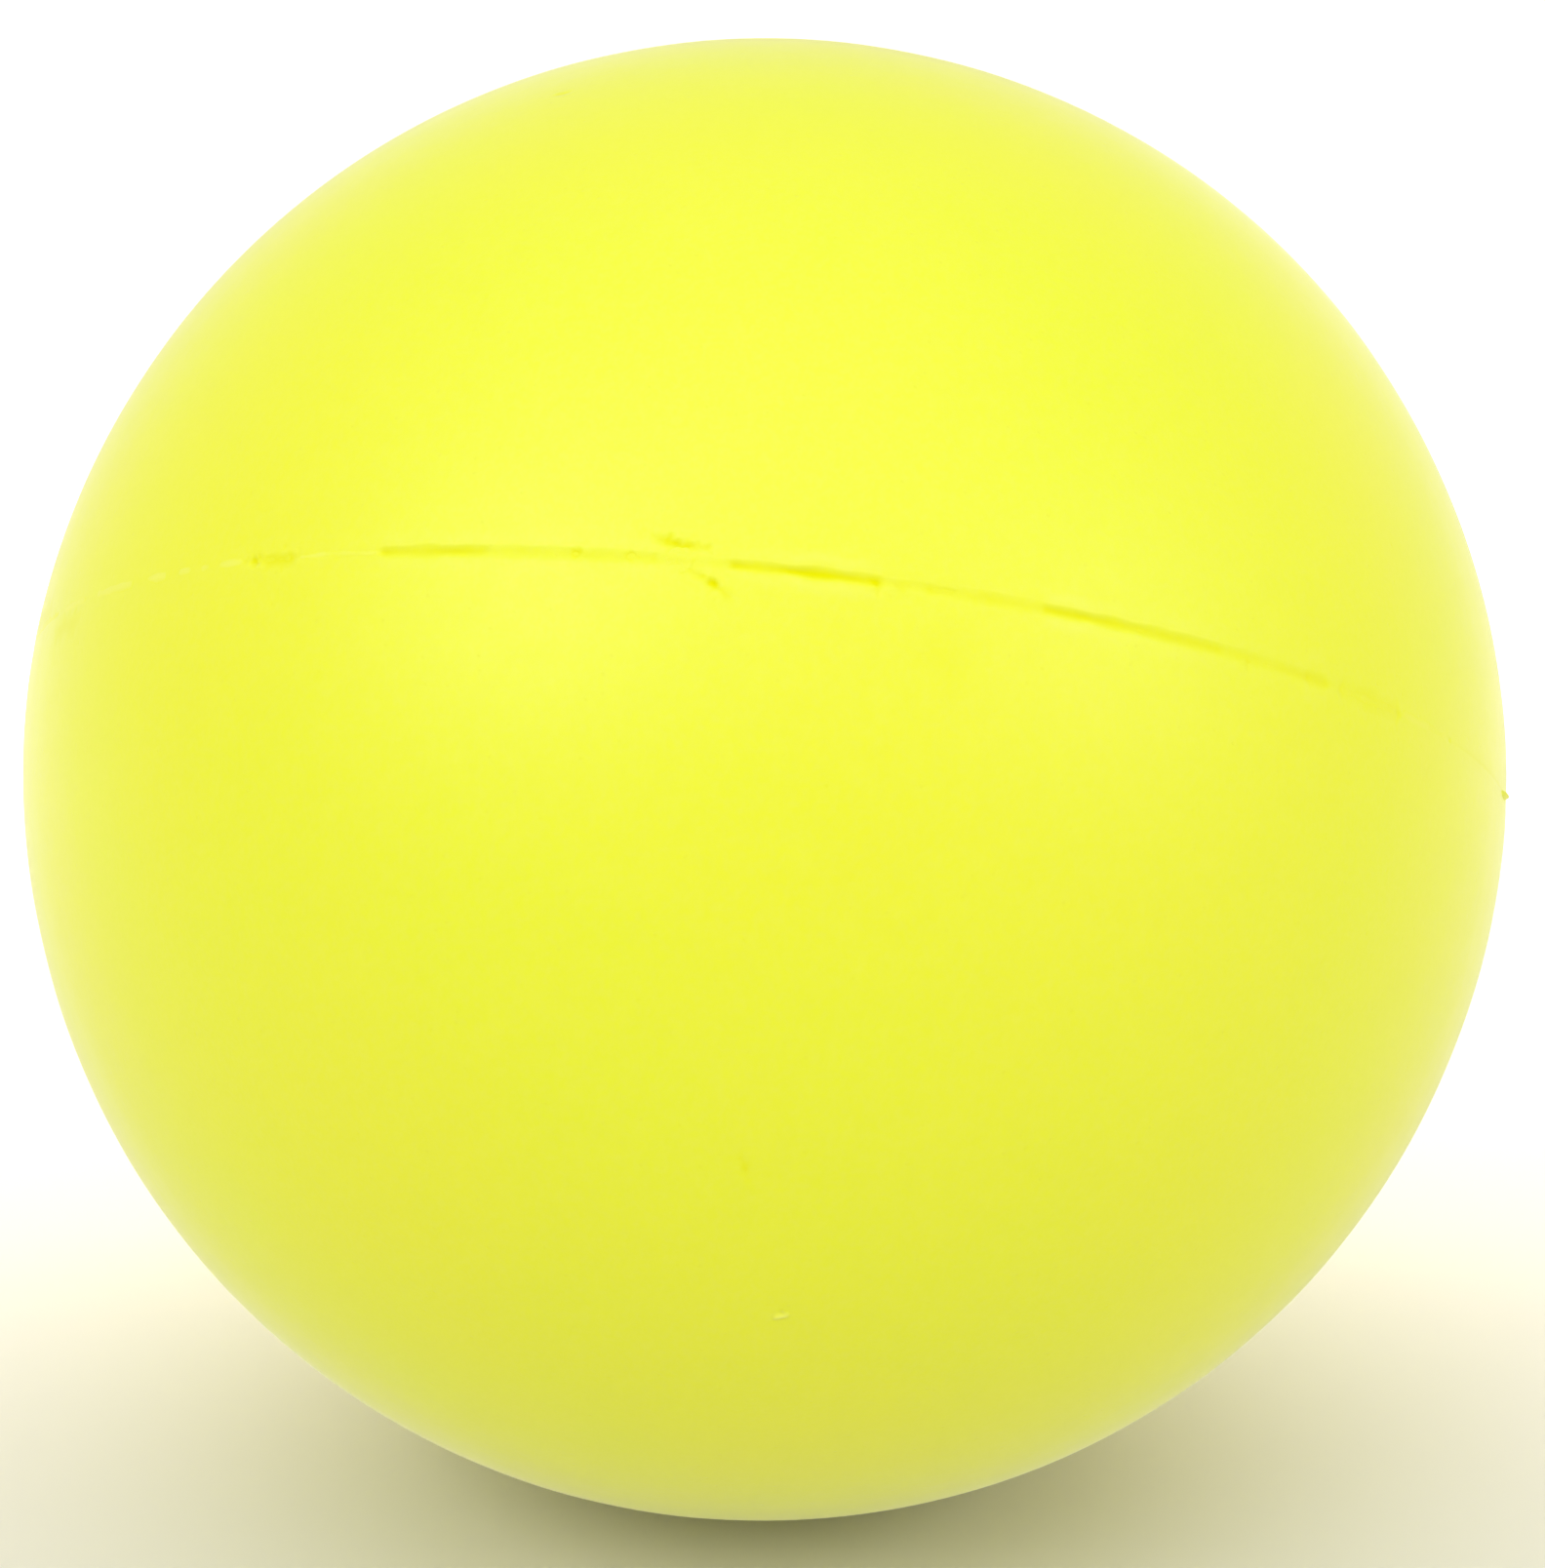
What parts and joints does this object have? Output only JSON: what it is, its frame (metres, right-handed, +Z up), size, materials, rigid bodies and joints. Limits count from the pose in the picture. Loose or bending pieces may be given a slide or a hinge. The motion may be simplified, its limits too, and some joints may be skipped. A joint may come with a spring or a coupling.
{
  "type": "pickleball ball",
  "caption": "Smooth soft foam pickleball ball without holes, with a moulded skin and a tipped parting line.",
  "frame": {"origin": "centre of the ball", "axes": "+Z up and -Y to the front, for the ball as it lies on a table. The mould axis leans 27.2 degrees from +Z towards +Y, and then 6.2 degrees towards +X. A ball looks the same about any axis but for its parting line."},
  "size_m": [0.074, 0.074, 0.074],
  "materials": {
    "skin": "fluorescent yellow polyurethane foam skin, smooth and matt",
    "flash": "thin trimmed polyurethane skin, slightly translucent, matt",
    "gate": "dense polyurethane, cut with a knife",
    "foam": "light fine-celled polyurethane foam"
  },
  "bodies": {
    "root": {"foam_core": "foam", "skin_upper": "skin", "skin_lower": "skin", "parting_flash": "flash", "gate_plug": "gate"}
  },
  "joints": []
}
